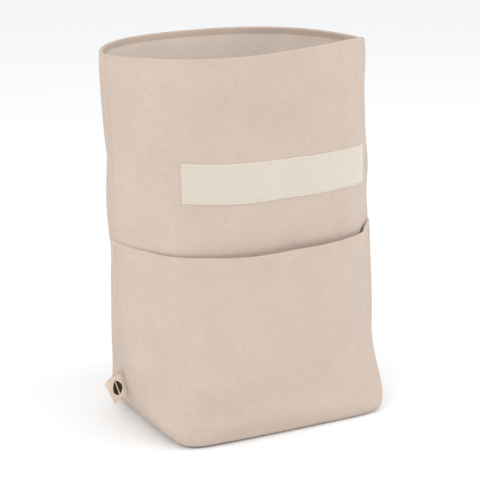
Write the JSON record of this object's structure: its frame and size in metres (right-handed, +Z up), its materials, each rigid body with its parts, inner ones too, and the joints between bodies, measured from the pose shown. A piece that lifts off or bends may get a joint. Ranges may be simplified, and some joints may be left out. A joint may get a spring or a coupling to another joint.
{
  "type": "soft tote organizer",
  "caption": "Padded canvas tote that stands open, with a boxed base, a wide front pocket, fastener tapes and a folded side label",
  "frame": {"origin": "on the floor under the middle of the base", "axes": "+X along the wide side, +Y from the front (pocket) side to the back, +Z up"},
  "size_m": [0.2766, 0.1813, 0.336],
  "materials": {
    "outer_canvas": "matte woven beige canvas",
    "pocket_canvas": "matte woven beige canvas",
    "thread": "twisted sewing thread",
    "loop_tape": "brushed pile tape",
    "hook_tape": "moulded hook tape",
    "label_tape": "smooth woven label tape with a printed mark",
    "foam": "foam sheet",
    "stiffener": "matte sheet",
    "lining_cloth": "fine plain weave"
  },
  "bodies": {
    "bag": {"front_panel": "outer_canvas", "back_panel": "outer_canvas", "front_pocket": "pocket_canvas", "pocket_hem_stitching": "thread", "front_loop_tape": "loop_tape", "front_tape_stitching": "thread", "back_hook_tape": "hook_tape", "back_tape_stitching": "thread", "front_padding": "foam", "back_padding": "foam", "base_padding": "foam", "base_board": "stiffener", "front_lining": "lining_cloth", "back_lining": "lining_cloth"},
    "label": {"side_label": "label_tape"}
  },
  "joints": [
    {"name": "label_swing", "type": "hinge", "parent": "bag", "child": "label", "pos_m": [-0.12441, 0, 0.03976], "axis": [-0.2419, 0, 0.9703], "range_deg": [-70, 70]}
  ]
}
